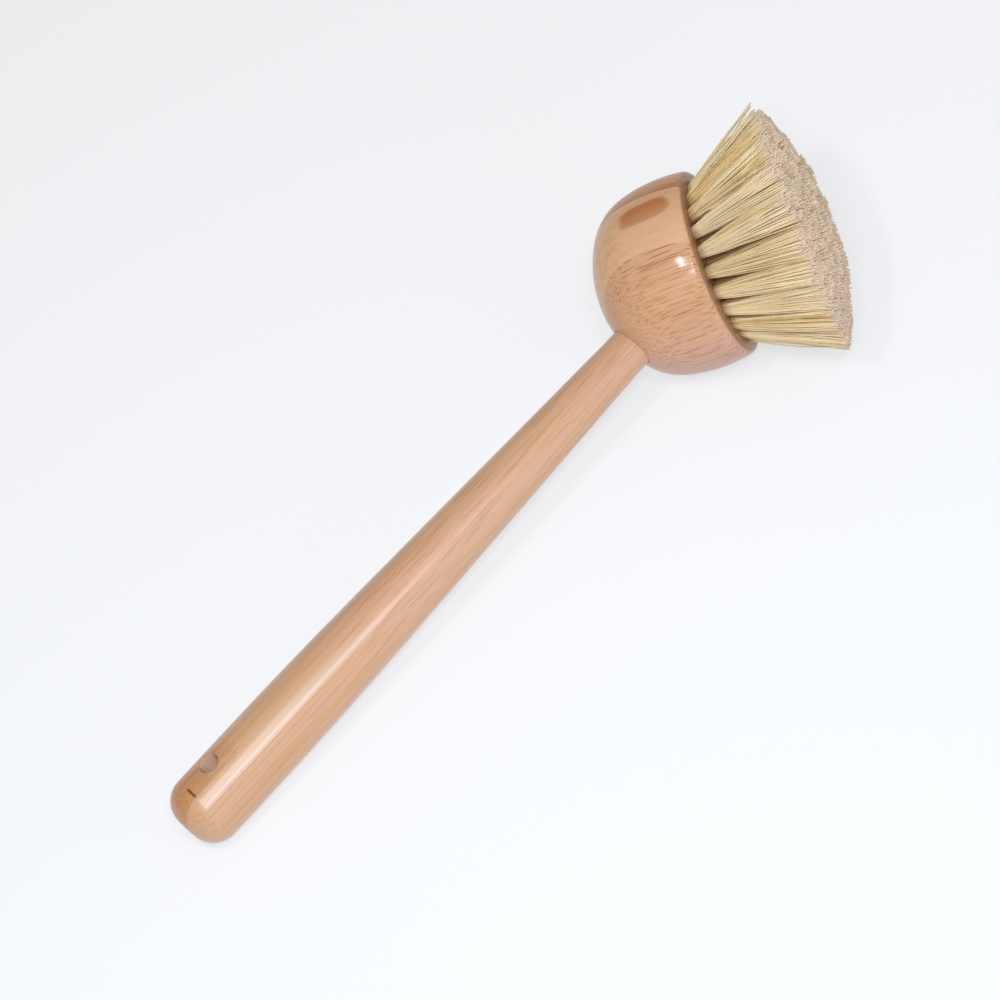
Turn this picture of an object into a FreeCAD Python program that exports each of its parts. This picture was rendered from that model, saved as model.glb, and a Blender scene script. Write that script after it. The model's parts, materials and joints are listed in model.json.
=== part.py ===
"""Dish brush: a bamboo ball head on a turned bamboo handle, with a fan of plant-fibre tufts.

The head, the tufts and the handle are drawn in the head's own frame: Z is the axis of the turned ball
and points out of the bristle face, the handle lies in the XZ plane, and zero is the middle of the ball.
At the end the brush is laid on its side, as it comes to rest on a table.
"""
import FreeCAD, Part

import math
import os

# Head, turned from a bamboo block (millimetres)
HEAD_DIAMETER = 55.0
HEAD_BACK_DEPTH = 26.75     # widest circle to the back of the ball
HEAD_FACE_HEIGHT = 8.9      # widest circle to the flat bristle face
HEAD_SIDE_ARC = 43.0        # the outline is three arcs: side,
HEAD_SHOULDER_ARC = 18.0    # shoulder
HEAD_BACK_ARC = 33.7        # and back
FACE_EDGE_ROUND = 2.0

# Handle, turned from a bamboo strip laminate
HANDLE_BEND_DEG = 38.5      # between the handle's axis and the axis of the ball
HANDLE_AIM_HEIGHT = 4.0     # where the two axes cross, above the widest circle
HANDLE_REACH = 207.5        # from that crossing to the butt
NECK_DIAMETER = 12.4
NECK_REACH = 35.5           # from the crossing to the start of the taper
GRIP_DIAMETER = 20.4
GRIP_LENGTH = 15.5          # parallel stretch before the rounded butt
TAPER_EASE = 27.0           # the taper eases into the grip over this much on each side of their corner
BUTT_ROUND = 7.5
PLUG_REACH = 15.0           # from the crossing to the end of the plug
PLUG_CHAMFER = 1.0
GLUE_GAP = 0.1
HANG_HOLE_DIAMETER = 5.8
HANG_HOLE_FROM_BUTT = 16.5

# Tuft holes and the bristles in them
TUFT_HOLE_DIAMETER = 4.2
TUFT_HOLE_DEPTH = 6.5
TUFT_HOLE_LAND = 1.5        # wood between neighbouring holes at the face
RIM_LAND = 1.8              # wood between the outer holes and the rounded edge
FAN_DEPTH = 51.6            # all holes point away from one spot this far behind the face
BRISTLE_HEIGHT = 31.3       # face to the top of the dome
DOME_RADIUS = 102.0
TUFT_CLEARANCE = 0.1        # tuft in its hole
TUFT_GAP = 0.3              # between neighbouring tufts at the tips
TUFT_SIDES = 6

# Flat wire that holds the fold of each tuft
ANCHOR_THICKNESS = 0.4
ANCHOR_HEIGHT = 1.8
ANCHOR_CLEARANCE = 0.03     # to the wood at its ends and to the fibre round it
FOLD_THICKNESS = 1.2        # fibre under the wire

CUT_OVERRUN = 5.0

UP = FreeCAD.Vector(0, 0, 1)
ACROSS = FreeCAD.Vector(0, 1, 0)
ORIGIN = FreeCAD.Vector(0, 0, 0)

HEAD_RADIUS = HEAD_DIAMETER / 2
PLUG_RADIUS = NECK_DIAMETER / 2
GRIP_RADIUS = GRIP_DIAMETER / 2
TUFT_HOLE_RADIUS = TUFT_HOLE_DIAMETER / 2
HANDLE_AIM = UP * HANDLE_AIM_HEIGHT
FAN_CENTRE = UP * (HEAD_FACE_HEIGHT - FAN_DEPTH)
DOME_CENTRE = UP * (HEAD_FACE_HEIGHT + BRISTLE_HEIGHT - DOME_RADIUS)


def half_plane(radius, height):
    """A point of a turned outline."""
    return FreeCAD.Vector(radius, 0, height)


def arc(centre, start, end):
    """The shorter arc about centre, from start to end."""
    middle = (start - centre) + (end - centre)
    middle.normalize()
    return Part.Arc(start, centre + middle * (start - centre).Length, end).toShape()


def line(start, end):
    return Part.LineSegment(start, end).toShape()


def turned(edges):
    """The solid that a closed outline sweeps round the Z axis."""
    return Part.Face(Part.Wire(edges)).revolve(ORIGIN, UP, 360)


def towards(start, target, distance):
    step = target - start
    step.normalize()
    return start + step * distance


def circles_meet(first, first_radius, second, second_radius):
    """The outer of the two points at these distances from two centres in the XZ plane."""
    span = second - first
    distance = span.Length
    along = (first_radius**2 - second_radius**2 + distance**2) / (2 * distance)
    aside = math.sqrt(first_radius**2 - along**2)
    span.normalize()
    foot = first + span * along
    sideways = ACROSS.cross(span) * aside
    return max((foot + sideways, foot - sideways), key=lambda point: point.x)


SIDE_CENTRE = half_plane(HEAD_RADIUS - HEAD_SIDE_ARC, 0)
BACK_CENTRE = half_plane(0, HEAD_BACK_ARC - HEAD_BACK_DEPTH)
FACE_EDGE_HEIGHT = HEAD_FACE_HEIGHT - FACE_EDGE_ROUND
FACE_RADIUS = SIDE_CENTRE.x + math.sqrt((HEAD_SIDE_ARC - FACE_EDGE_ROUND)**2 - FACE_EDGE_HEIGHT**2)


def head_outline():
    """Back, shoulder and side arcs, each tangent to the next, the rounded edge and the flat face."""
    shoulder = circles_meet(
        BACK_CENTRE, HEAD_BACK_ARC - HEAD_SHOULDER_ARC, SIDE_CENTRE, HEAD_SIDE_ARC - HEAD_SHOULDER_ARC)
    edge_centre = half_plane(FACE_RADIUS, FACE_EDGE_HEIGHT)
    pole = half_plane(0, -HEAD_BACK_DEPTH)
    back_end = towards(BACK_CENTRE, shoulder, HEAD_BACK_ARC)
    side_start = towards(SIDE_CENTRE, shoulder, HEAD_SIDE_ARC)
    side_end = towards(SIDE_CENTRE, edge_centre, HEAD_SIDE_ARC)
    face_edge = half_plane(FACE_RADIUS, HEAD_FACE_HEIGHT)
    face_middle = half_plane(0, HEAD_FACE_HEIGHT)
    return [
        arc(BACK_CENTRE, pole, back_end),
        arc(shoulder, back_end, side_start),
        arc(SIDE_CENTRE, side_start, side_end),
        arc(edge_centre, side_end, face_edge),
        line(face_edge, face_middle),
        line(face_middle, pole),
    ]


def laid_on_handle(shape):
    """Takes a shape drawn along Z to the handle's axis, which starts at the crossing of the axes."""
    shape.Placement = FreeCAD.Placement(HANDLE_AIM, FreeCAD.Rotation(ACROSS, 180 + HANDLE_BEND_DEG))
    return shape


def socket():
    length = HEAD_BACK_DEPTH + HEAD_DIAMETER
    return laid_on_handle(Part.makeCylinder(PLUG_RADIUS + GLUE_GAP, length, UP * PLUG_REACH, UP))


def make_handle():
    """Plug, neck, long taper, parallel grip and rounded butt turned in one piece, then the hanging hole."""
    plug_end = half_plane(PLUG_RADIUS - PLUG_CHAMFER, PLUG_REACH)
    plug_side = half_plane(PLUG_RADIUS, PLUG_REACH + PLUG_CHAMFER)
    neck = half_plane(PLUG_RADIUS, NECK_REACH)
    butt_centre = half_plane(GRIP_RADIUS - BUTT_ROUND, HANDLE_REACH - BUTT_ROUND)
    butt_side = half_plane(GRIP_RADIUS, butt_centre.z)
    butt_end = half_plane(butt_centre.x, HANDLE_REACH)
    grip = half_plane(GRIP_RADIUS, butt_side.z - GRIP_LENGTH)
    corner = half_plane(GRIP_RADIUS, grip.z - TAPER_EASE)
    taper_end = towards(corner, neck, TAPER_EASE)
    half_turn = math.atan2(corner.x - neck.x, corner.z - neck.z) / 2
    ease_centre = half_plane(GRIP_RADIUS - TAPER_EASE / math.tan(half_turn), grip.z)
    axis_start = half_plane(0, PLUG_REACH)
    axis_end = half_plane(0, HANDLE_REACH)
    rod = turned([
        line(axis_start, plug_end),
        line(plug_end, plug_side),
        line(plug_side, neck),
        line(neck, taper_end),
        arc(ease_centre, taper_end, grip),
        line(grip, butt_side),
        arc(butt_centre, butt_side, butt_end),
        line(butt_end, axis_end),
        line(axis_end, axis_start),
    ])
    reach = GRIP_RADIUS + CUT_OVERRUN
    drill_start = half_plane(0, HANDLE_REACH - HANG_HOLE_FROM_BUTT) - ACROSS * reach
    return laid_on_handle(rod.cut(Part.makeCylinder(HANG_HOLE_DIAMETER / 2, 2 * reach, drill_start, ACROSS)))


def tuft_rings():
    """Radius of each ring and how many tufts it has, from the outer ring inwards."""
    pitch = TUFT_HOLE_DIAMETER + TUFT_HOLE_LAND
    radius = FACE_RADIUS - RIM_LAND - TUFT_HOLE_RADIUS
    rings = []
    while radius > pitch / math.sqrt(3):
        rings.append((radius, int(math.pi / math.asin(pitch / (2 * radius)))))
        radius -= pitch
    if radius >= 0:
        rings.append((0, 1))
    return rings


class Seat:
    """One tuft hole: where it meets the face, the way it points and the way its wire lies."""

    def __init__(self, ring_radius, angle):
        outwards = FreeCAD.Vector(math.cos(angle), math.sin(angle), 0)
        self.mouth = outwards * ring_radius + UP * HEAD_FACE_HEIGHT
        self.axis = self.mouth - FAN_CENTRE
        self.axis.normalize()
        self.wire = UP.cross(outwards)
        self.outer_side = self.wire.cross(self.axis)
        self.floor = self.mouth - self.axis * TUFT_HOLE_DEPTH

    def place(self, shape):
        """Takes a shape drawn on the floor of a hole, with X to its outer side and the wire along Y, to this hole."""
        turn = FreeCAD.Rotation(self.outer_side, self.wire, self.axis, "ZXY")
        shape.Placement = FreeCAD.Placement(self.floor, turn)
        return shape

    def tip(self):
        """Where the axis meets the trimmed dome."""
        offset = self.mouth - DOME_CENTRE
        along = offset.dot(self.axis)
        return self.mouth + self.axis * (math.sqrt(along**2 + DOME_RADIUS**2 - offset.Length**2) - along)

    def sideways(self, turn):
        """The unit vector across the axis at this angle from the outer side."""
        return self.outer_side * math.cos(turn) + self.wire * math.sin(turn)


def ring_seats(ring_radius, count):
    return [Seat(ring_radius, 2 * math.pi * number / count) for number in range(count)]


def least_angle(seats):
    """The smallest angle between the axes of any two tufts."""
    return min(first.axis.getAngle(second.axis) for index, first in enumerate(seats) for second in seats[:index])


def anchor_box(clearance):
    """The flat wire across a hole, with room round its two flats and edges."""
    depth = ANCHOR_THICKNESS + 2 * clearance
    length = TUFT_HOLE_DIAMETER - 2 * ANCHOR_CLEARANCE
    height = ANCHOR_HEIGHT + 2 * clearance
    corner = FreeCAD.Vector(-depth / 2, -length / 2, FOLD_THICKNESS - clearance)
    return Part.makeBox(depth, length, height, corner)


def make_tuft(seat, spread):
    """Pressed to a hexagon by its neighbours: straight in its hole, flaring to the dome, slotted for its wire."""
    tip = seat.tip()
    root_radius = TUFT_HOLE_RADIUS - TUFT_CLEARANCE
    tip_radius = (tip - FAN_CENTRE).Length * math.tan(spread / 2) - TUFT_GAP / 2
    flare = (tip_radius - root_radius) / (tip - seat.mouth).Length
    trim = tip - DOME_CENTRE
    floor, mouth, top = [], [], []
    for side in range(TUFT_SIDES):
        sideways = seat.sideways(2 * math.pi * side / TUFT_SIDES)
        floor.append(seat.floor + sideways * root_radius)
        mouth.append(seat.mouth + sideways * root_radius)
        slant = seat.axis + sideways * flare
        top.append(mouth[-1] + slant * ((tip - mouth[-1]).dot(trim) / slant.dot(trim)))
    outlines = [floor, top]
    for lower, upper in ((floor, mouth), (mouth, top)):
        for side in range(TUFT_SIDES):
            outlines.append([lower[side - 1], lower[side], upper[side], upper[side - 1]])
    faces = [Part.Face(Part.makePolygon(corners + corners[:1])) for corners in outlines]
    bundle = Part.Solid(Part.Shell(faces))
    return bundle.cut(seat.place(anchor_box(ANCHOR_CLEARANCE)))


def make_head(seats):
    """The turned ball with its socket and its fan of tuft holes."""
    holes = [seat.place(Part.makeCylinder(TUFT_HOLE_RADIUS, TUFT_HOLE_DEPTH + CUT_OVERRUN)) for seat in seats]
    return turned(head_outline()).cut([socket()] + holes)


def rest_rotation(outer_tuft):
    """Turns the brush to lie on three points: the ball, the outer bristle tips and the butt."""
    rim = max((vertex.Point for vertex in outer_tuft.Vertexes), key=lambda point: math.hypot(point.x, point.y))
    rim_arm = math.hypot(rim.x, rim.y) - SIDE_CENTRE.x
    lean = math.acos(HEAD_SIDE_ARC / math.hypot(rim_arm, rim.z)) - math.atan2(rim.z, rim_arm)
    ball_height = HEAD_SIDE_ARC + SIDE_CENTRE.x * math.cos(lean)
    arm = HANDLE_REACH - BUTT_ROUND
    end_radius = GRIP_RADIUS - BUTT_ROUND
    drop = ball_height + HANDLE_AIM_HEIGHT * math.sin(lean) - BUTT_ROUND
    slope = math.asin(drop / math.hypot(arm, end_radius)) - math.atan2(end_radius, arm)
    bend = math.radians(HANDLE_BEND_DEG)
    handle_axis = FreeCAD.Vector(math.sin(bend), 0, math.cos(bend))
    up_z = math.sin(lean)
    up_x = (math.sin(slope) - up_z * handle_axis.z) / handle_axis.x
    up = FreeCAD.Vector(up_x, math.sqrt(1 - up_x**2 - up_z**2), up_z)
    ahead = handle_axis - up * handle_axis.dot(up)
    ahead.normalize()
    return FreeCAD.Rotation(ahead, up.cross(ahead), up, "ZXY").inverted()


def make_brush():
    """All pieces by name, in the head's own frame."""
    rings = [ring_seats(radius, count) for radius, count in tuft_rings()]
    seats = [seat for ring in rings for seat in ring]
    spread = least_angle(seats)
    pieces = {"handle": make_handle(), "head": make_head(seats)}
    for ring_number, ring in enumerate(rings, 1):
        for number, seat in enumerate(ring, 1):
            pieces[f"tuft_ring{ring_number}_{number:02d}"] = make_tuft(seat, spread)
        pieces[f"anchors_ring{ring_number}"] = Part.makeCompound([seat.place(anchor_box(0)) for seat in ring])
    return pieces


def lay_down(pieces):
    """Rests the brush on the plane Z = 0, with the handle along X and zero under the middle of its box."""
    turn = FreeCAD.Placement(ORIGIN, rest_rotation(pieces["tuft_ring1_01"]))
    for piece in pieces.values():
        piece.Placement = turn.multiply(piece.Placement)
    box = Part.makeCompound(list(pieces.values())).optimalBoundingBox(False, False)
    shift = FreeCAD.Vector(-box.Center.x, -box.Center.y, -box.ZMin)
    for piece in pieces.values():
        piece.translate(shift)


os.makedirs("parts", exist_ok=True)
brush = make_brush()
lay_down(brush)
for name, piece in brush.items():
    piece.exportStep(f"parts/{name}.step")
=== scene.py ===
import json
import math

import bpy
import numpy as np
from mathutils import Matrix, Vector

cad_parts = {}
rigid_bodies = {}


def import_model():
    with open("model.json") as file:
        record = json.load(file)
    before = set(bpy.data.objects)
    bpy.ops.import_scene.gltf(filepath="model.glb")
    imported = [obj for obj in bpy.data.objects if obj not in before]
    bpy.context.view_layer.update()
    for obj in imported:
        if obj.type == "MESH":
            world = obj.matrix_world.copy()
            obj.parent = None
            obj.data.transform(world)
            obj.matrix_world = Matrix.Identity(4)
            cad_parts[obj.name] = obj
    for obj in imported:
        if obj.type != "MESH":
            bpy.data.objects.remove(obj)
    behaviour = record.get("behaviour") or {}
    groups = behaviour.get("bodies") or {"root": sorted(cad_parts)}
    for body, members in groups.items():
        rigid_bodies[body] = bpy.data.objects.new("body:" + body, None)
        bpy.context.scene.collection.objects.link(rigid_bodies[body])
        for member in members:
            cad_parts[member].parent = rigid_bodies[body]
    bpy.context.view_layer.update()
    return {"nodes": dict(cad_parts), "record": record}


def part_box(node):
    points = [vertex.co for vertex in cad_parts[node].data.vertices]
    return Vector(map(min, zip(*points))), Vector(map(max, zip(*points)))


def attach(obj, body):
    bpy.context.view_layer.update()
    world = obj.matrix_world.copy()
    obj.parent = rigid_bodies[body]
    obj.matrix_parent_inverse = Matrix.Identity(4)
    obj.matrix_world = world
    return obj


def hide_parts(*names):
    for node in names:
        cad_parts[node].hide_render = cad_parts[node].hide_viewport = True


for leftover in list(bpy.data.objects):
    bpy.data.objects.remove(leftover)
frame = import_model()

# Head: a ball turned from a block of glued bamboo strips, fibres along the turning axis, with a patch of
# brown outer skin left on one strip. Its flat face is drilled with one hole for each tuft, fanned out
# from a point inside the ball, and the whole ball is sanded smooth and lacquered.
MILLIMETRE = 0.001
FACE_TO_WIDEST = 0.0089
HOLE_FLOOR_SHARE = 0.015
HOLE_MOUTH_SHARES = (0.13, 0.4)
ROD_END_DEPTH = 0.3 * MILLIMETRE


def corners(name):
    """Every point of a node's mesh, in metres."""
    mesh = frame["nodes"][name].data
    points = np.empty(3 * len(mesh.vertices))
    mesh.vertices.foreach_get("co", points)
    return points.reshape(-1, 3)


def long_axis(points):
    """The middle of a set of points and the direction in which they reach furthest."""
    middle = points.mean(axis=0)
    return middle, np.linalg.svd(points - middle, full_matrices=False)[2][0]


def tuft_hole(name):
    """The middle of a tuft hole's floor and of its mouth, read from the solid that fills it."""
    points = corners(name)
    middle, lengthwise = long_axis(points)
    outwards = middle - np.array(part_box("head")[0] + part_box("head")[1]) / 2
    along = (points - middle) @ lengthwise * np.sign(lengthwise @ outwards)
    share = (along - along.min()) / np.ptp(along)
    mouth_low, mouth_high = HOLE_MOUTH_SHARES
    floor_points = points[share < HOLE_FLOOR_SHARE]
    mouth_points = points[(share > mouth_low) & (share < mouth_high)]
    return Vector(floor_points.mean(axis=0)), Vector(mouth_points.mean(axis=0))


tuft_nodes = sorted(name for name in frame["nodes"] if name.startswith("tuft"))
tuft_holes = {name: tuft_hole(name) for name in tuft_nodes}
outer_ring = [tuft_holes[name] for name in tuft_nodes if name.startswith("tuft_ring1")]
face_middle = sum((mouth for floor, mouth in outer_ring), Vector()) / len(outer_ring)
face_out = sum((mouth - floor for floor, mouth in outer_ring), Vector()).normalized()


def rod_ends(name):
    """The middles of the two ends of a turned rod, the lower X first."""
    points = corners(name)
    middle, lengthwise = long_axis(points)
    along = (points - middle) @ lengthwise * np.sign(lengthwise[0])
    low = points[along < along.min() + ROD_END_DEPTH].mean(axis=0)
    high = points[along > along.max() - ROD_END_DEPTH].mean(axis=0)
    return Vector(low), Vector(high)


handle_butt, handle_plug = rod_ends("handle")
handle_along = (handle_plug - handle_butt).normalized()
bend_side = (handle_along - face_out * handle_along.dot(face_out)).normalized()
upper_side = face_out.cross(bend_side)


def wood_place(origin, across, through, along):
    """A wood's own frame: strips side by side along X, layers along Y, fibres along Z."""
    turn = Matrix((across, through, along)).transposed()
    return Matrix.Translation(origin) @ turn.to_4x4()


def node(tree, kind, inputs=None, **settings):
    """Adds a shader node and fills its inputs with values or with the outputs of other nodes."""
    made = tree.nodes.new("ShaderNode" + kind)
    for key, value in settings.items():
        setattr(made, key, value)
    for key, value in (inputs or {}).items():
        if isinstance(value, bpy.types.NodeSocket):
            tree.links.new(value, made.inputs[key])
        else:
            made.inputs[key].default_value = value
    return made


def maths(tree, operation, first, second=0.0):
    """One operation on one or two numbers."""
    return node(tree, "Math", {0: first, 1: second}, operation=operation).outputs[0]


def vector_maths(tree, operation, *inputs):
    """One operation on one or two vectors; a length or a dot product gives a number."""
    made = node(tree, "VectorMath", dict(enumerate(inputs)), operation=operation)
    return made.outputs["Value" if operation in ("LENGTH", "DOT_PRODUCT") else "Vector"]


def spread(tree, value, low, high, to_low=0.0, to_high=1.0, shape="LINEAR"):
    """Takes a value from one range to another and holds it at the ends."""
    inputs = {"Value": value, "From Min": low, "From Max": high, "To Min": to_low, "To Max": to_high}
    return node(tree, "MapRange", inputs, interpolation_type=shape).outputs["Result"]


def ramp(tree, value, stops, shape="LINEAR"):
    """A colour ramp with the stops given as place and colour."""
    made = node(tree, "ValToRGB", {"Fac": value})
    made.color_ramp.interpolation = shape
    elements = made.color_ramp.elements
    while len(elements) < len(stops):
        elements.new(1.0)
    for element, (place, colour) in zip(elements, stops):
        element.position = place
        element.color = (*colour, 1.0)
    return made.outputs["Color"]


# The mix node has sockets for every type of data; these are the numbers of those for colours.
MIX_SHARE = 0
MIX_FIRST = 6
MIX_SECOND = 7
MIX_RESULT = 2


def mixed(tree, share, first, second, blend="MIX"):
    """Two colours mixed, the second by the share given."""
    made = node(tree, "Mix", data_type="RGBA", blend_type=blend)
    for key, value in ((MIX_SHARE, share), (MIX_FIRST, first), (MIX_SECOND, second)):
        if isinstance(value, bpy.types.NodeSocket):
            tree.links.new(value, made.inputs[key])
        elif key == MIX_SHARE:
            made.inputs[key].default_value = value
        else:
            made.inputs[key].default_value = (*value, 1.0)
    return made.outputs[MIX_RESULT]


def grain_places(tree, place):
    """Where each point lies in the wood's own frame, in mm."""
    inputs = {
        "Vector": node(tree, "TexCoord").outputs["Object"],
        "Location": place.translation,
        "Rotation": place.to_euler(),
        "Scale": (MILLIMETRE,) * 3,
    }
    return node(tree, "Mapping", inputs, vector_type="TEXTURE").outputs["Vector"]


def stretched_noise(tree, grain, scale, **inputs):
    """Noise in the wood, with its own scale along each axis of the wood's frame."""
    scaled = node(tree, "Mapping", {"Vector": grain, "Scale": scale}).outputs["Vector"]
    return node(tree, "TexNoise", {"Vector": scaled, "Scale": 1.0, **inputs}).outputs


# A strip is its lower edge across the block in mm, its tone and how strongly its fibre bundles show.
STRIP_EDGE = 0
STRIP_TONE = 1
STRIP_FIBRES = 2
BLOCK_HALF = 32.0


def strip_value(tree, grain, seam, strips, column):
    """One value of the strip that a place in the block falls in."""
    place = vector_maths(tree, "DOT_PRODUCT", grain, seam)
    stops = [
        ((strip[STRIP_EDGE] + BLOCK_HALF) / (2 * BLOCK_HALF), (strip[column],) * 3) for strip in strips]
    return ramp(tree, spread(tree, place, -BLOCK_HALF, BLOCK_HALF), stops, "CONSTANT")


# Scales are per mm of wood, and each span is the part of a noise's range that is put to use.
NOISE_SPAN = (0.3, 0.7)
NOISE_MIDDLE = (0.5, 0.5, 0.5)
DRIFT_SCALE = (0.07, 0.07, 0.012)
DRIFT_REACH = (1.2, 1.2, 0.0)
DASH_SCALE_ACROSS = 0.8
DASH_SPAN = (0.34, 0.54)
STREAK_SCALE_ALONG = 0.02
STREAK_SPAN = (0.36, 0.64)
BAND_SCALE = (0.55, 0.55, 0.012)
BAND_SPAN = (0.5, 0.72)
BAND_SHARE = 0.6
CLOUD_SCALE = (0.1, 0.1, 0.04)
CLOUD_DEPTH = 0.1
BAMBOO_DARK = (0.30, 0.12, 0.05)
BAMBOO_MIDDLE = (0.59, 0.305, 0.155)
BAMBOO_OCHRE = (0.60, 0.32, 0.115)
BAMBOO_ROUGHNESS = (0.45, 0.6)
BAMBOO_SPECULAR = 0.15
BUNDLE_SINK = 0.6
GRAIN_RELIEF = 0.25
GRAIN_DEPTH = 0.05 * MILLIMETRE


def bamboo(
        name, place, seam, strips, light, fibre, bundle_gap, bundle_core, dash_length, fade,
        streak_gap, streaks, gloss, gloss_spread):
    """Lacquered bamboo: strips of differing tone, dark fibre bundles along Z and finer streaks between."""
    material = bpy.data.materials.new(name)
    material.use_nodes = True
    tree = material.node_tree
    grain = grain_places(tree, place)

    drift = stretched_noise(tree, grain, DRIFT_SCALE, Detail=2.0)["Color"]
    drift = vector_maths(tree, "SUBTRACT", drift, NOISE_MIDDLE)
    drift = vector_maths(tree, "MULTIPLY", drift, DRIFT_REACH)
    fibres = vector_maths(tree, "ADD", grain, drift)

    packed = vector_maths(tree, "DIVIDE", fibres, (*bundle_gap, 1.0))
    bundle = node(tree, "TexVoronoi", {"Vector": packed, "Scale": 1.0}, voronoi_dimensions="2D")
    core = spread(tree, bundle.outputs["Distance"], *bundle_core, 1.0, 0.0, "SMOOTHSTEP")
    dash_scale = (DASH_SCALE_ACROSS, DASH_SCALE_ACROSS, 1 / dash_length)
    dash = stretched_noise(tree, fibres, dash_scale, Detail=1.0)["Fac"]
    core = maths(tree, "MULTIPLY", core, spread(tree, dash, *DASH_SPAN))
    streak_scale = (1 / streak_gap, 1 / streak_gap, STREAK_SCALE_ALONG)
    streak = stretched_noise(tree, fibres, streak_scale, Detail=4.0, Roughness=0.7)["Fac"]
    band = stretched_noise(tree, grain, BAND_SCALE, Detail=3.0)["Fac"]
    cloud = stretched_noise(tree, grain, CLOUD_SCALE, Detail=2.0)["Fac"]

    tone = strip_value(tree, grain, seam, strips, STRIP_TONE)
    tone = maths(tree, "ADD", tone, spread(tree, streak, *STREAK_SPAN, -streaks, streaks))
    tone = maths(tree, "ADD", tone, spread(tree, cloud, *NOISE_SPAN, -CLOUD_DEPTH, CLOUD_DEPTH))
    colour = ramp(tree, tone, [(0.0, BAMBOO_DARK), (0.5, BAMBOO_MIDDLE), (1.0, light)])
    colour = mixed(tree, spread(tree, band, *BAND_SPAN, 0.0, BAND_SHARE), colour, BAMBOO_OCHRE)
    along = node(tree, "SeparateXYZ", {"Vector": grain}).outputs["Z"]
    strength = strip_value(tree, grain, seam, strips, STRIP_FIBRES)
    strength = maths(tree, "MULTIPLY", strength, spread(tree, along, *fade))
    colour = mixed(tree, maths(tree, "MULTIPLY", core, strength), colour, fibre)

    shader = tree.nodes["Principled BSDF"]
    tree.links.new(colour, shader.inputs["Base Color"])
    tree.links.new(spread(tree, streak, *NOISE_SPAN, *BAMBOO_ROUGHNESS), shader.inputs["Roughness"])
    relief = maths(tree, "SUBTRACT", streak, maths(tree, "MULTIPLY", core, BUNDLE_SINK))
    bump = node(tree, "Bump", {"Height": relief, "Strength": GRAIN_RELIEF, "Distance": GRAIN_DEPTH})
    tree.links.new(bump.outputs["Normal"], shader.inputs["Normal"])
    shader.inputs["Specular IOR Level"].default_value = BAMBOO_SPECULAR
    shader.inputs["Coat Weight"].default_value = gloss
    shader.inputs["Coat Roughness"].default_value = gloss_spread
    return material


def repaint(material, share, colour, blend="MIX"):
    """Lays another colour over a share of a material's surface."""
    tree = material.node_tree
    base = tree.nodes["Principled BSDF"].inputs["Base Color"]
    tree.links.new(mixed(tree, share, base.links[0].from_socket, colour, blend), base)


RAGGED_SCALE = (1.6, 1.6, 0.25)
RAGGED_SPAN = (0.25, 0.75)


def patch(material, place, middle, reach, soft, ragged):
    """The share of a patch in the wood: a rounded block in the wood's frame, in mm, with a ragged edge."""
    tree = material.node_tree
    grain = grain_places(tree, place)
    uneven = stretched_noise(tree, grain, RAGGED_SCALE, Detail=2.0)["Fac"]
    away = vector_maths(tree, "SUBTRACT", grain, middle)
    away = vector_maths(tree, "DIVIDE", away, reach)
    away = vector_maths(tree, "MULTIPLY", away, away)
    away = vector_maths(tree, "LENGTH", away)
    away = maths(tree, "ADD", away, spread(tree, uneven, *RAGGED_SPAN, -ragged, ragged))
    return spread(tree, away, 1.0 - soft, 1.0, 1.0, 0.0, "SMOOTHSTEP")


HEAD_SEAM = (0.979, -0.19, 0.068)
HEAD_STRIPS = ((-BLOCK_HALF, 0.62, 0.5), (-21.5, 0.64, 1.0), (-16.7, 0.97, 0.06), (1.5, 0.36, 0.4))
HEAD_LIGHT = (0.72, 0.412, 0.22)
HEAD_FIBRE = (0.37, 0.14, 0.048)
ball_middle = face_middle - face_out * FACE_TO_WIDEST
head_wood = wood_place(ball_middle, bend_side, upper_side, face_out)
head_bamboo = bamboo(
    "head_bamboo_lacquer", head_wood, HEAD_SEAM, HEAD_STRIPS, HEAD_LIGHT, HEAD_FIBRE,
    bundle_gap=(0.55, 1.3), bundle_core=(0.14, 0.4), dash_length=11.0, fade=(-20.0, -8.0, 0.35, 1.0),
    streak_gap=0.45, streaks=0.2, gloss=0.55, gloss_spread=0.125)
head_tree = head_bamboo.node_tree
head_grain = grain_places(head_tree, head_wood)
head_axes = node(head_tree, "SeparateXYZ", {"Vector": head_grain}).outputs

SKIN_MIDDLE = (0.3, 27.3, -2.3)
SKIN_REACH = (4.0, 4.5, 8.4)
SKIN_FADE = (-3.5, 1.5, 0.55, 0.92)
SKIN_BROWN = (0.46, 0.15, 0.038)
skin = patch(head_bamboo, head_wood, SKIN_MIDDLE, SKIN_REACH, soft=0.5, ragged=0.14)
skin = maths(head_tree, "MULTIPLY", skin, spread(head_tree, head_axes["X"], *SKIN_FADE))
repaint(head_bamboo, skin, SKIN_BROWN)

TOP_STRIP_TINT = (1.06, 0.89, 0.72)
# The low side of the ball is tinted bluer: painted cool light falling on it from below.
LOW_SIDE_PAINTED_COOL_LIGHT = (0.95, 0.99, 1.36)
LOW_SIDE_LIGHT_FADE = (8.0, -12.0)
across_strips = vector_maths(head_tree, "DOT_PRODUCT", head_grain, HEAD_SEAM)
on_top_strip = maths(head_tree, "GREATER_THAN", across_strips, HEAD_STRIPS[-1][STRIP_EDGE])
repaint(head_bamboo, on_top_strip, TOP_STRIP_TINT, "MULTIPLY")
repaint(head_bamboo, spread(head_tree, head_axes["Y"], *LOW_SIDE_LIGHT_FADE), LOW_SIDE_PAINTED_COOL_LIGHT, "MULTIPLY")

# The rounded rim and the flat face between the tufts are painted a darker brown: painted shade where the
# bristles shade the face.
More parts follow.
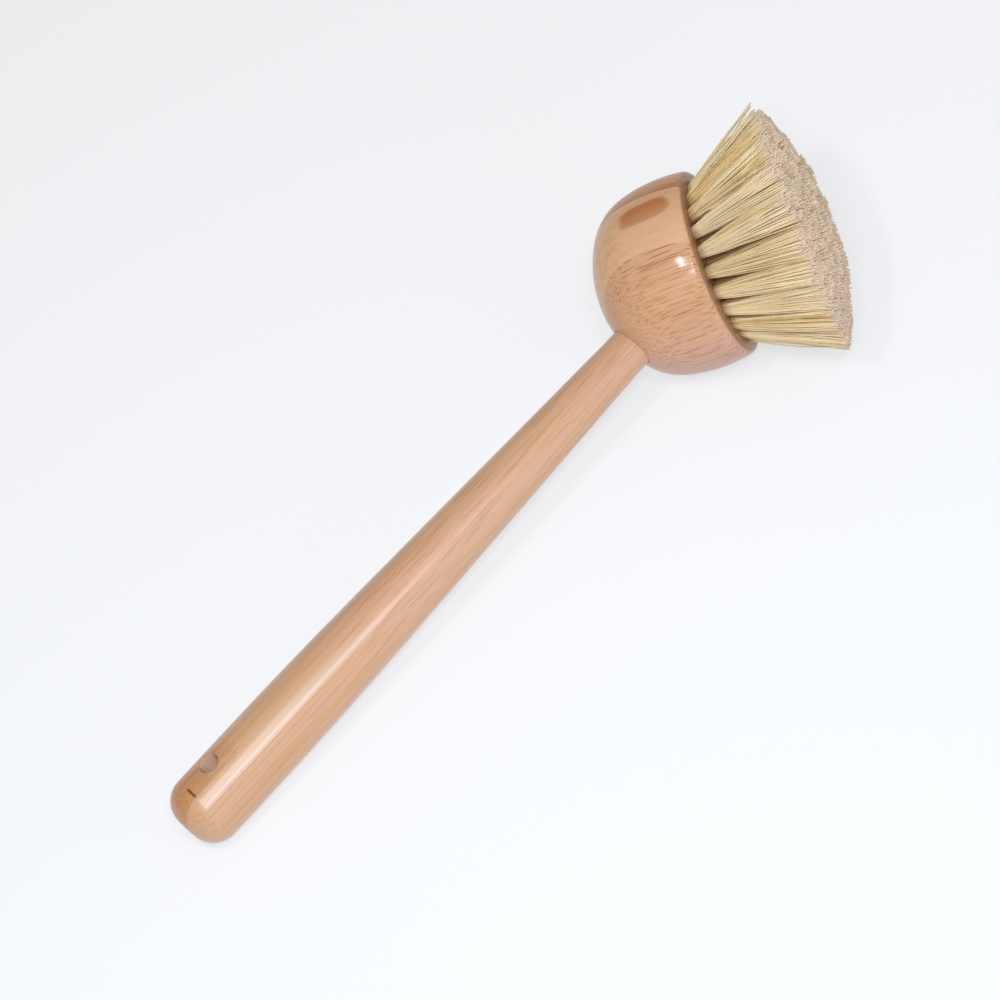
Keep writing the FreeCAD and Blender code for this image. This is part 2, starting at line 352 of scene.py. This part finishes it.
FACE_LEVEL = FACE_TO_WIDEST / MILLIMETRE
RIM_TOP = FACE_LEVEL - 0.2
RIM_FOOT = FACE_LEVEL - 0.7
RIM_SHARE = 0.85
RIM_PAINTED_SHADE = (0.28, 0.125, 0.05)
FACE_PAINTED_SHADE = (0.42, 0.22, 0.10)
repaint(head_bamboo, spread(head_tree, head_axes["Z"], RIM_FOOT, RIM_TOP, 0.0, RIM_SHARE), RIM_PAINTED_SHADE)
repaint(head_bamboo, spread(head_tree, head_axes["Z"], RIM_TOP, FACE_LEVEL), FACE_PAINTED_SHADE)
frame["nodes"]["head"].data.materials[0] = head_bamboo

# Handle: one rod turned from glued strips of the same bamboo, fibres lengthwise, browner at the butt with a
# short dark scar there. It tapers to the neck, whose plain end is glued into the head. A hanging hole is
# drilled through the grip, its wall left bare and painted pale, partly as painted light coming through the
# hole, and painted darker at its ends along the fibres, partly for end grain and partly as painted shade.
# The rod is lacquered like the head.
HANDLE_SEAM = (1.0, 0.0, 0.0)
HANDLE_STRIPS = ((-BLOCK_HALF, 0.80, 0.9), (-6.5, 0.90, 0.75), (4.3, 0.93, 0.6))
HANDLE_LIGHT = (0.63, 0.362, 0.203)
HANDLE_FIBRE = (0.50, 0.228, 0.095)
BEYOND_HANDLE = (-300.0, -299.0, 0.0, 1.0)
handle_side = upper_side.cross(-handle_along)
handle_wood = wood_place(handle_butt, handle_side, upper_side, -handle_along)
handle_bamboo = bamboo(
    "handle_bamboo_lacquer", handle_wood, HANDLE_SEAM, HANDLE_STRIPS, HANDLE_LIGHT, HANDLE_FIBRE,
    bundle_gap=(0.7, 0.7), bundle_core=(0.12, 0.36), dash_length=90.0, fade=BEYOND_HANDLE,
    streak_gap=0.62, streaks=0.36, gloss=0.95, gloss_spread=0.30)
handle_tree = handle_bamboo.node_tree

SCAR_MIDDLE = (2.4, 9.8, -7.8)
SCAR_REACH = (1.9, 3.0, 0.42)
SCAR_BROWN = (0.22, 0.08, 0.035)
scar = patch(handle_bamboo, handle_wood, SCAR_MIDDLE, SCAR_REACH, soft=0.35, ragged=0.25)
repaint(handle_bamboo, scar, SCAR_BROWN)

BUTT_BROWN_MIDDLE = (-4.0, 4.0, 2.0)
BUTT_BROWN_REACH = (14.0, 14.0, 30.0)
BUTT_TINT = (0.88, 0.73, 0.53)
handle_grain = grain_places(handle_tree, handle_wood)
sideways = node(handle_tree, "SeparateXYZ", {"Vector": handle_grain}).outputs["X"]
in_brown_strip = maths(handle_tree, "LESS_THAN", sideways, HANDLE_STRIPS[-1][STRIP_EDGE])
brown_end = patch(handle_bamboo, handle_wood, BUTT_BROWN_MIDDLE, BUTT_BROWN_REACH, soft=0.8, ragged=0.3)
repaint(handle_bamboo, maths(handle_tree, "MULTIPLY", in_brown_strip, brown_end), BUTT_TINT, "MULTIPLY")

HOLE_WALL_DEPTH = 0.06
END_GRAIN_FROM = 0.75
ACROSS_HOLE = (1.0, 1.0, 0.0)
BARE_WOOD_AND_PAINTED_LIGHT = (0.80, 0.53, 0.36)
END_GRAIN_AND_PAINTED_SHADE = (0.34, 0.19, 0.11)
hang_hole = frame["record"]["mounts"][0]
hole_radius = hang_hole["dims"]["r_mm"]
hole_along = Vector(hang_hole["axis"])
hole_across = hole_along.cross(handle_along)
hole_place = wood_place(Vector(hang_hole["pos_m"]), handle_along, hole_across, hole_along)
in_hole = grain_places(handle_tree, hole_place)
from_axis = vector_maths(handle_tree, "LENGTH", vector_maths(handle_tree, "MULTIPLY", in_hole, ACROSS_HOLE))
on_wall = maths(handle_tree, "LESS_THAN", from_axis, hole_radius + HOLE_WALL_DEPTH)
endwise = maths(handle_tree, "ABSOLUTE", node(handle_tree, "SeparateXYZ", {"Vector": in_hole}).outputs["X"])
endwise = spread(handle_tree, endwise, END_GRAIN_FROM * hole_radius, hole_radius)
# The bore wall is painted pale bare wood, partly painted light that stands in for light through the hole;
# its ends along the fibres are painted darker, partly end grain and partly painted shade.
repaint(handle_bamboo, on_wall, BARE_WOOD_AND_PAINTED_LIGHT)
repaint(handle_bamboo, maths(handle_tree, "MULTIPLY", on_wall, endwise), END_GRAIN_AND_PAINTED_SHADE)
frame["nodes"]["handle"].data.materials[0] = handle_bamboo

# Anchor wires: short lengths of flat drawn steel wire, each driven across a tuft hole through the fold
# of its bristles. They sit at the bottom of the holes, out of sight.
WIRE_GRAIN_SCALE = 4000.0
WIRE_DARK = (0.42, 0.41, 0.39)
WIRE_BRIGHT = (0.62, 0.61, 0.58)
WIRE_ROUGHNESS = (0.28, 0.45)
wire_steel = bpy.data.materials.new("drawn_wire_steel")
wire_steel.use_nodes = True
wire_tree = wire_steel.node_tree
wire_places = node(wire_tree, "TexCoord").outputs["Object"]
wire_grain = node(wire_tree, "TexNoise", {"Vector": wire_places, "Scale": WIRE_GRAIN_SCALE}).outputs["Fac"]
wire_colour = ramp(wire_tree, wire_grain, list(zip(NOISE_SPAN, (WIRE_DARK, WIRE_BRIGHT))))
wire_shader = wire_tree.nodes["Principled BSDF"]
wire_tree.links.new(wire_colour, wire_shader.inputs["Base Color"])
wire_tree.links.new(
    spread(wire_tree, wire_grain, *NOISE_SPAN, *WIRE_ROUGHNESS), wire_shader.inputs["Roughness"])
wire_shader.inputs["Metallic"].default_value = 1.0
for name, wires in frame["nodes"].items():
    if name.startswith("anchors"):
        wires.data.materials[0] = wire_steel

# Bristle tufts: bundles of stiff straw-coloured plant fibre, each bristle folded in half under its wire
# so that both ends stand out of the hole. The tufts flare as they leave the face, lean on their
# neighbours and are trimmed together to one low dome, a little shorter on the side that lies away.
BRISTLES_PER_TUFT = 135
BRISTLE_RADIUS = 0.000185
RADIUS_SHARES = (0.75, 1.2)
BRISTLE_SIDES = 4
FLOOR_CLEARANCE = 0.0003
HOLE_FILL_RADIUS = 0.0017
FOLD_FLOOR = 0.0005
WIRE_LEVEL = 0.0021
LEG_CLEAR_OF_WIRE = 0.00046
TIP_FILL_RADIUS = 0.0049
PLACE_NUDGE = 0.06
TIP_NUDGE = 0.0005
TUFT_NUDGE = 0.0005
FAN_NARROWING = 0.10
FLARE_SHAPE = 0.95
FREE_SHARES = (0.1, 0.28, 0.55, 1.0)
BRISTLE_BOW = 0.00028
TRIM_HEIGHT = 0.0330
TRIM_RADIUS = 0.079
TRIM_LEAN = math.radians(7.7)
TRIM_TURN = math.radians(-41.0)
TRIM_ROUGHNESS = 0.0007
TUFT_HEIGHT = 0.00015
LOCKS_PER_TUFT = 7
LOCK_SPREAD = 0.9
LOCK_PULL = 0.45
LOCK_PULL_SHARES = (0.3, 1.0)
LOCK_HEIGHT = 0.0004
STRAY_CHANCE = 0.03
STRAY_LEAN = 0.002
LOOSE_CHANCE = 0.7
LOOSE_FACING = 0.5
LOOSE_LEGS = 3
LOOSE_LEAN = 0.0030
GOLDEN_TURN = math.pi * (3 - math.sqrt(5))
SAME_DIRECTION = 1e-6
draw = np.random.default_rng(17)
loose_side = (bend_side + upper_side).normalized()
trim_side = bend_side * math.cos(TRIM_TURN) + upper_side * math.sin(TRIM_TURN)
trim_axis = face_out * math.cos(TRIM_LEAN) + trim_side * math.sin(TRIM_LEAN)
trim_middle = face_middle + face_out * TRIM_HEIGHT - trim_axis * TRIM_RADIUS


def sunflower(count, radius):
    """Places spread evenly over a disc, each nudged a little."""
    number = np.arange(count) + 0.5
    reach = radius * np.sqrt(number / count)
    turn = number * GOLDEN_TURN
    places = np.stack([reach * np.cos(turn), reach * np.sin(turn)], axis=1)
    return places + draw.normal(0, radius * PLACE_NUDGE, places.shape)


def trimmed_length(start, direction):
    """How far each line runs until it meets the trimmed dome."""
    offset = start - np.array(trim_middle)
    square = (direction * direction).sum(axis=1)
    half = (offset * direction).sum(axis=1)
    rest = (offset * offset).sum(axis=1) - TRIM_RADIUS**2
    return (np.sqrt(half**2 - square * rest) - half) / square


def tuft_legs(floor, mouth):
    """The path of every leg of one tuft, from its fold under the wire to its trimmed tip."""
    axis = (mouth - floor).normalized()
    wire = face_out.cross(axis)
    wire = wire.normalized() if wire.length > SAME_DIRECTION else bend_side.copy()
    inward = axis.cross(wire)
    axis, wire, inward = np.array(axis), np.array(wire), np.array(inward)
    floor, mouth = np.array(floor), np.array(mouth)
    depth = np.linalg.norm(mouth - floor)
    lean = math.acos(min(1.0, axis @ np.array(face_out)))

    half = sunflower(2 * BRISTLES_PER_TUFT, HOLE_FILL_RADIUS)
    half = half[np.argsort(half[:, 0])][BRISTLES_PER_TUFT:]
    seats = np.concatenate([half, half * (-1, 1)])
    side = np.sign(seats[:, :1])
    beside_wire = np.where(np.abs(seats[:, :1]) < LEG_CLEAR_OF_WIRE, side * LEG_CLEAR_OF_WIRE, seats[:, :1])

    def place(across, along_wire, up):
        """Points in the hole, from their distances across it, along its wire and up from its floor."""
        return floor + across * inward + along_wire * wire + np.asarray(up).reshape(-1, 1) * axis

    under = place(0 * side, seats[:, 1:], np.full(len(seats), FOLD_FLOOR))
    level = place(beside_wire, seats[:, 1:], np.full(len(seats), WIRE_LEVEL))
    gate = place(seats[:, :1], seats[:, 1:], np.full(len(seats), depth))

    tips = seats * (TIP_FILL_RADIUS / HOLE_FILL_RADIUS)
    locks = sunflower(LOCKS_PER_TUFT, TIP_FILL_RADIUS * LOCK_SPREAD)
    nearest = np.argmin(((tips[:, None] - locks[None]) ** 2).sum(axis=2), axis=1)
    tips = tips + (locks[nearest] - tips) * LOCK_PULL * draw.uniform(*LOCK_PULL_SHARES, (len(tips), 1))
    tips = tips + draw.normal(0, TIP_NUDGE, tips.shape) + draw.normal(0, TUFT_NUDGE, (1, 2))
    strays = draw.random(len(tips)) < STRAY_CHANCE
    tips[strays] += draw.normal(0, STRAY_LEAN, (strays.sum(), 2))
    if draw.random() < LOOSE_CHANCE and -inward @ np.array(loose_side) > LOOSE_FACING:
        tips[np.argsort(tips[:, 0])[:LOOSE_LEGS]] -= (LOOSE_LEAN, 0.0)
    sway = (tips - seats) / TRIM_HEIGHT
    sway[:, 0] += FAN_NARROWING * math.tan(lean)
    direction = axis + sway[:, :1] * inward + sway[:, 1:] * wire
    length = trimmed_length(gate, direction)
    length = length - np.abs(draw.normal(0, TRIM_ROUGHNESS, len(length))) + draw.normal(0, TUFT_HEIGHT)
    length = length + draw.normal(0, LOCK_HEIGHT, LOCKS_PER_TUFT)[nearest]
    bow = draw.normal(0, BRISTLE_BOW, (len(tips), 2))
    paths = [under, level, gate]
    for share in FREE_SHARES:
        flare = share**FLARE_SHAPE
        curve = bow * math.sin(math.pi * share)
        shift = sway * flare * length[:, None] + curve
        paths.append(gate + share * length[:, None] * axis + shift[:, :1] * inward + shift[:, 1:] * wire)
    return np.stack(paths, axis=1), wire, nearest


# How far up each leg the painted root shade reaches, as a share of its free length: short on the outer
# ring, long on the inner rings.
OUTER_ROOT = 0.10
INNER_ROOT = 0.7
BRISTLE_TONE = 0.45
LOCK_TONE = 0.55


def bristle_mesh(name, outer_root, legs, wire, lock):
    """One tube for each folded bristle: down one leg, under the wire and up the other."""
    count = len(legs) // 2
    paths = np.concatenate([legs[:count, ::-1], legs[count:, 1:]], axis=1)
    rings = paths.shape[1]
    paths[..., 2] = np.maximum(paths[..., 2], FLOOR_CLEARANCE + BRISTLE_RADIUS)
    tangent = np.gradient(paths, axis=1)
    tangent /= np.linalg.norm(tangent, axis=2, keepdims=True)
    first = wire - tangent * (tangent @ wire)[..., None]
    first /= np.linalg.norm(first, axis=2, keepdims=True)
    second = np.cross(tangent, first)
    radius = BRISTLE_RADIUS * draw.uniform(*RADIUS_SHARES, (count, 1, 1, 1))
    turn = 2 * math.pi * np.arange(BRISTLE_SIDES) / BRISTLE_SIDES
    around = np.cos(turn)[:, None] * first[:, :, None] + np.sin(turn)[:, None] * second[:, :, None]
    points = paths[:, :, None] + radius * around

    start = (np.arange(count) * rings * BRISTLE_SIDES)[:, None, None]
    ring = (np.arange(rings - 1) * BRISTLE_SIDES)[None, :, None]
    edge = np.arange(BRISTLE_SIDES)[None, None]
    following = (edge + 1) % BRISTLE_SIDES
    low, high = start + ring, start + ring + BRISTLE_SIDES
    sides = np.stack([low + edge, low + following, high + following, high + edge], axis=3).reshape(-1, 4)
    last = start[:, 0] + (rings - 1) * BRISTLE_SIDES
    caps = np.concatenate([start[:, 0] + np.arange(BRISTLE_SIDES)[::-1], last + np.arange(BRISTLE_SIDES)])
    mesh = bpy.data.meshes.new(name)
    mesh.from_pydata(points.reshape(-1, 3), [], np.concatenate([sides, caps]))
    mesh.shade_smooth()
    for face in mesh.polygons[len(sides):]:
        face.use_smooth = False

    free_reach = np.array(FREE_SHARES)
    in_hole_reach = np.zeros(rings - 2 * len(FREE_SHARES))
    reach_along = np.concatenate([free_reach[::-1], in_hole_reach, free_reach])
    root_along = np.repeat((INNER_ROOT, outer_root), (rings // 2, rings - rings // 2))
    reach = np.broadcast_to(reach_along[None, :, None], points.shape[:3])
    clear = np.minimum(reach / root_along[None, :, None], 1)
    tone = BRISTLE_TONE * draw.random(count)
    tone = tone + LOCK_TONE * draw.permutation(LOCKS_PER_TUFT)[lock[:count]] / LOCKS_PER_TUFT
    tone = np.broadcast_to(tone[:, None, None], points.shape[:3])
    for label, values in (("reach", reach), ("tone", tone), ("clear_of_root", clear)):
        attribute = mesh.attributes.new(label, "FLOAT", "POINT")
        attribute.data.foreach_set("value", values.astype(np.float32).ravel())
    return mesh


STRAW_OCHRE = (0.68, 0.44, 0.16)
STRAW_MIDDLE = (0.83, 0.63, 0.33)
STRAW_PALE = (0.88, 0.70, 0.415)
STRAW_MIDDLE_TONE = 0.28
STRAW_PALE_TONE = 0.6
MOTTLE_SCALE = 220.0
MOTTLE_DEPTH = 0.08
TIP_BEIGE = (0.80, 0.615, 0.465)
TIP_FROM = 0.92
TIP_SHARE = 0.65
# The roots are painted dark brown: painted shade deep among the tufts.
SHADED_ROOT = (0.36, 0.12, 0.026)
ROOT_SHARE = 0.9
STRAW_ROUGHNESS = (0.45, 0.65)
STRAW_SPECULAR = 0.35
straw = bpy.data.materials.new("straw_bristle_fibre")
straw.use_nodes = True
straw_tree = straw.node_tree
straw_tone = node(straw_tree, "Attribute", attribute_name="tone").outputs["Fac"]
straw_reach = node(straw_tree, "Attribute", attribute_name="reach").outputs["Fac"]
clear_of_root = node(straw_tree, "Attribute", attribute_name="clear_of_root").outputs["Fac"]
straw_places = node(straw_tree, "TexCoord").outputs["Object"]
mottle = node(straw_tree, "TexNoise", {"Vector": straw_places, "Scale": MOTTLE_SCALE}).outputs["Fac"]
shade = spread(straw_tree, mottle, *NOISE_SPAN, -MOTTLE_DEPTH, MOTTLE_DEPTH)
shade = maths(straw_tree, "ADD", straw_tone, shade)
straw_stops = [
    (0.0, STRAW_OCHRE), (STRAW_MIDDLE_TONE, STRAW_MIDDLE), (STRAW_PALE_TONE, STRAW_PALE), (1.0, STRAW_PALE)]
straw_colour = ramp(straw_tree, shade, straw_stops)
at_tip = spread(straw_tree, straw_reach, TIP_FROM, 1.0, 0.0, TIP_SHARE, "SMOOTHSTEP")
straw_colour = mixed(straw_tree, at_tip, straw_colour, TIP_BEIGE)
at_root = spread(straw_tree, clear_of_root, 0.0, 1.0, ROOT_SHARE, 0.0)
straw_colour = mixed(straw_tree, at_root, straw_colour, SHADED_ROOT)
straw_shader = straw_tree.nodes["Principled BSDF"]
straw_tree.links.new(straw_colour, straw_shader.inputs["Base Color"])
straw_tree.links.new(
    spread(straw_tree, mottle, *NOISE_SPAN, *STRAW_ROUGHNESS), straw_shader.inputs["Roughness"])
straw_shader.inputs["Specular IOR Level"].default_value = STRAW_SPECULAR

for name in tuft_nodes:
    outer_root = OUTER_ROOT if name.startswith("tuft_ring1") else INNER_ROOT
    mesh = bristle_mesh(name.replace("tuft", "bristles"), outer_root, *tuft_legs(*tuft_holes[name]))
    mesh.materials.append(straw)
    bristles = bpy.data.objects.new(mesh.name, mesh)
    bpy.context.scene.collection.objects.link(bristles)
    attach(bristles, "root")
    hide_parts(name)

# Floor: a plain matt white table top that the brush lies on. The camera and the gloss of the lacquer see it
# glow an even white, while the light that it sends back onto the brush comes from its plain white surface.
FLOOR_HALF = 12.0
FLOOR_CORNERS = ((-1, -1), (1, -1), (1, 1), (-1, 1))
FLOOR_WHITE = (0.86, 0.865, 0.875)
FLOOR_BRIGHT = (0.87, 0.873, 0.88)
FLOOR_GRAIN_SCALE = 3.0
FLOOR_ROUGHNESS = 0.8
FLOOR_SPECULAR = 0.1
FLOOR_SEEN = (0.33, 0.328, 0.325)
FLOOR_GLOW = 0.62
FLOOR_GLOW_WHITE = (0.98, 0.99, 1.0, 1.0)
floor_mesh = bpy.data.meshes.new("floor")
floor_corners = [(x * FLOOR_HALF, y * FLOOR_HALF, 0.0) for x, y in FLOOR_CORNERS]
floor_mesh.from_pydata(floor_corners, [], [tuple(range(len(floor_corners)))])
floor = bpy.data.objects.new("floor", floor_mesh)
bpy.context.scene.collection.objects.link(floor)
white_ground = bpy.data.materials.new("white_ground")
white_ground.use_nodes = True
ground_tree = white_ground.node_tree
ground_grain = node(ground_tree, "TexNoise", {"Scale": FLOOR_GRAIN_SCALE, "Detail": 3.0}).outputs["Fac"]
ground_colour = ramp(ground_tree, ground_grain, list(zip(NOISE_SPAN, (FLOOR_WHITE, FLOOR_BRIGHT))))
light_path = node(ground_tree, "LightPath").outputs
seen = maths(ground_tree, "MAXIMUM", light_path["Is Camera Ray"], light_path["Is Glossy Ray"])
seen = maths(ground_tree, "MAXIMUM", seen, light_path["Is Transmission Ray"])
ground_colour = mixed(ground_tree, seen, ground_colour, FLOOR_SEEN)
ground_shader = ground_tree.nodes["Principled BSDF"]
ground_shader.inputs["Roughness"].default_value = FLOOR_ROUGHNESS
ground_shader.inputs["Specular IOR Level"].default_value = FLOOR_SPECULAR
ground_tree.links.new(ground_colour, ground_shader.inputs["Base Color"])
ground_tree.links.new(
    maths(ground_tree, "MULTIPLY", seen, FLOOR_GLOW), ground_shader.inputs["Emission Strength"])
ground_shader.inputs["Emission Color"].default_value = FLOOR_GLOW_WHITE
floor_mesh.materials.append(white_ground)

# Camera: above the brush and in front of it, with a long lens, rolled so that the handle runs from lower
# left to upper right. Its place, aim, roll and lens were fitted to the outline of the brush.
CAMERA_PLACE = Vector((-0.15522, -0.36948, 0.57287))
CAMERA_AIM = Vector((-0.00803, -0.00110, 0.03000))
CAMERA_ROLL = math.radians(-26.41)
CAMERA_LENS = 91.06
CAMERA_SENSOR = 36.0
UPWARDS = Vector((0, 0, 1))
view_along = (CAMERA_AIM - CAMERA_PLACE).normalized()
level_side = view_along.cross(UPWARDS).normalized()
upright = level_side.cross(view_along)
view_right = level_side * math.cos(CAMERA_ROLL) + upright * math.sin(CAMERA_ROLL)
view_up = upright * math.cos(CAMERA_ROLL) - level_side * math.sin(CAMERA_ROLL)
view_turn = Matrix((view_right, view_up, -view_along)).transposed()
camera_data = bpy.data.cameras.new("camera")
camera_data.lens = CAMERA_LENS
camera_data.sensor_width = CAMERA_SENSOR
camera = bpy.data.objects.new("camera", camera_data)
camera.matrix_world = Matrix.Translation(CAMERA_PLACE) @ view_turn.to_4x4()
bpy.context.scene.collection.objects.link(camera)
bpy.context.scene.camera = camera

# Light: a softbox over the camera lights the front and draws the gloss line along the handle, a small one
# to its upper left puts the spot on the ball, a cool panel low in front lifts the near side, a warm one
# before the face lights the bristle tips, and an even white room fills the shade.


def softbox(name, place, across, width, height, power, colour):
    """A rectangular lamp aimed at the middle of the brush, its width along the direction given."""
    away = (place - CAMERA_AIM).normalized()
    across = (across - away * across.dot(away)).normalized()
    lamp = bpy.data.lights.new(name, "AREA")
    lamp.shape = "RECTANGLE"
    lamp.size = width
    lamp.size_y = height
    lamp.energy = power
    lamp.color = colour
    made = bpy.data.objects.new(name, lamp)
    turn = Matrix((across, away.cross(across), away)).transposed()
    made.matrix_world = Matrix.Translation(place) @ turn.to_4x4()
    bpy.context.scene.collection.objects.link(made)


SOFTBOX_RISE = 0.06
SOFTBOX_BACK = 0.02
SPOT_PLACE = Vector((-0.163, -0.110, 0.545))
SPOT_TILT = 0.45
COOL_PANEL_PLACE = Vector((0.0, -1.0, 0.3))
COOL_PANEL_SIDE = Vector((1, 0, 0))
TIP_PANEL_AWAY = 1.1
TIP_PANEL_RISE = Vector((0, 0, 0.15))
OVER_CAMERA = CAMERA_PLACE + view_up * SOFTBOX_RISE
softbox(
    "camera_softbox", OVER_CAMERA - handle_along * SOFTBOX_BACK, handle_along,
    width=0.27, height=0.085, power=2.65, colour=(0.73, 0.83, 1.0))
softbox(
    "spot_softbox", SPOT_PLACE, view_right + view_up * SPOT_TILT,
    width=0.04, height=0.12, power=0.75, colour=(0.90, 0.95, 1.0))
softbox(
    "cool_panel", COOL_PANEL_PLACE, COOL_PANEL_SIDE,
    width=0.9, height=0.6, power=2.6, colour=(0.50, 0.60, 1.0))
softbox(
    "tip_panel", CAMERA_AIM + face_out * TIP_PANEL_AWAY + TIP_PANEL_RISE, UPWARDS,
    width=0.5, height=0.9, power=1.1, colour=(1.0, 0.97, 0.93))

ROOM_WHITE = (1.0, 0.975, 0.94, 1.0)
ROOM_STRENGTH = 0.4
world = bpy.data.worlds.new("white_room")
world.use_nodes = True
room = world.node_tree.nodes["Background"]
room.inputs["Color"].default_value = ROOM_WHITE
room.inputs["Strength"].default_value = ROOM_STRENGTH
bpy.context.scene.world = world
bpy.context.scene.view_settings.view_transform = "Standard"
